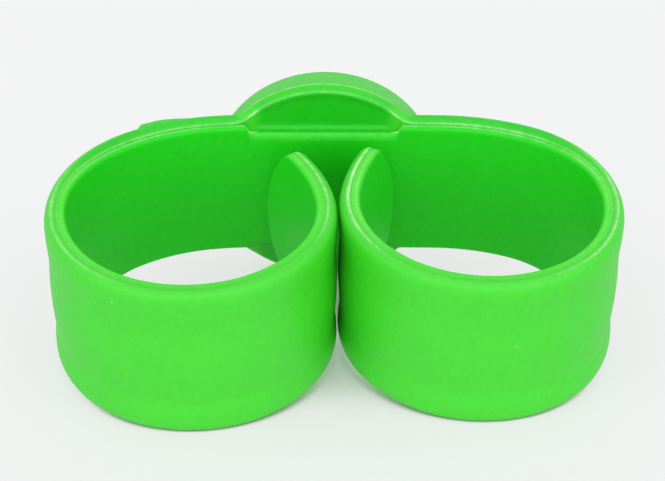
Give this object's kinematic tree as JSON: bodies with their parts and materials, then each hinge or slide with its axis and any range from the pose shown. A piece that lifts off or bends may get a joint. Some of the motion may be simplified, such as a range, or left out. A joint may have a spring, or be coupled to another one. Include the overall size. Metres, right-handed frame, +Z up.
{
  "type": "slap bracelet",
  "caption": "Silicone slap bracelet standing on its edge, both ends curled in, with a lining along the inner face and a round disc on the outer face.",
  "frame": {"origin": "on the floor, under the middle of the whole box, with the bracelet resting on its edge as shown", "axes": "+X along the band from the left curl to the right curl, +Y from the curls to the disc, +Z up"},
  "size_m": [0.0746, 0.0478, 0.0317],
  "materials": {
    "outer_silicone": "satin moulded silicone, bright green",
    "lining_silicone": "satin moulded silicone, bright green",
    "disc_silicone": "matt moulded silicone, bright green"
  },
  "bodies": {
    "root": {"outer_band": "outer_silicone", "lining": "lining_silicone", "disc": "disc_silicone"}
  },
  "joints": []
}
